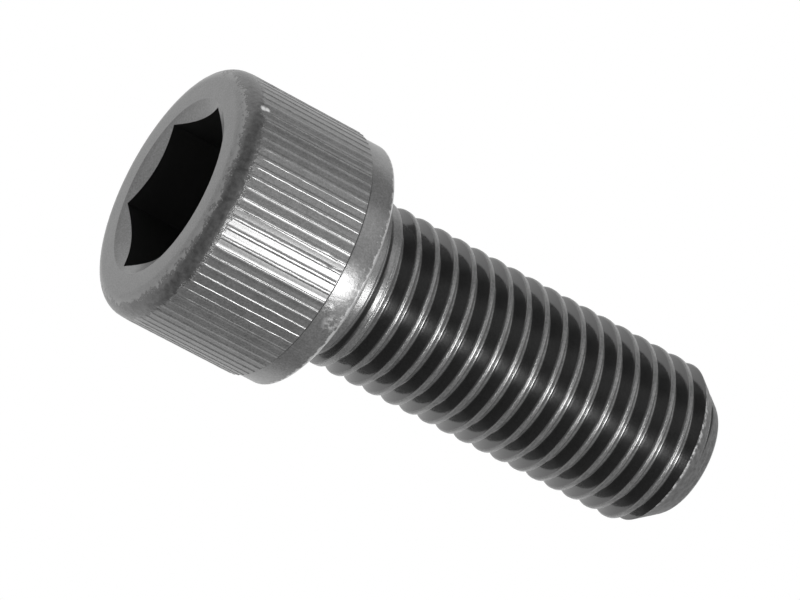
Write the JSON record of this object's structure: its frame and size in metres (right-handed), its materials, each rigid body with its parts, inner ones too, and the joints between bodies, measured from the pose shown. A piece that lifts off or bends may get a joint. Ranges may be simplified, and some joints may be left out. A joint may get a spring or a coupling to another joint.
{
  "type": "socket head cap screw",
  "caption": "Socket head cap screw with a knurled cylindrical head, a hexagon socket, a full-length metric thread and a chamfered tip, in blackened steel.",
  "frame": {"origin": "centre of the head's top face, which the screw stands on", "axes": "+Z along the screw's axis from the head to the tip; +X through a corner of the hexagon socket"},
  "size_m": [0.024, 0.024, 0.056],
  "materials": {
    "black_steel": "black oxide, satin"
  },
  "bodies": {
    "root": {"screw": "black_steel"}
  },
  "joints": []
}
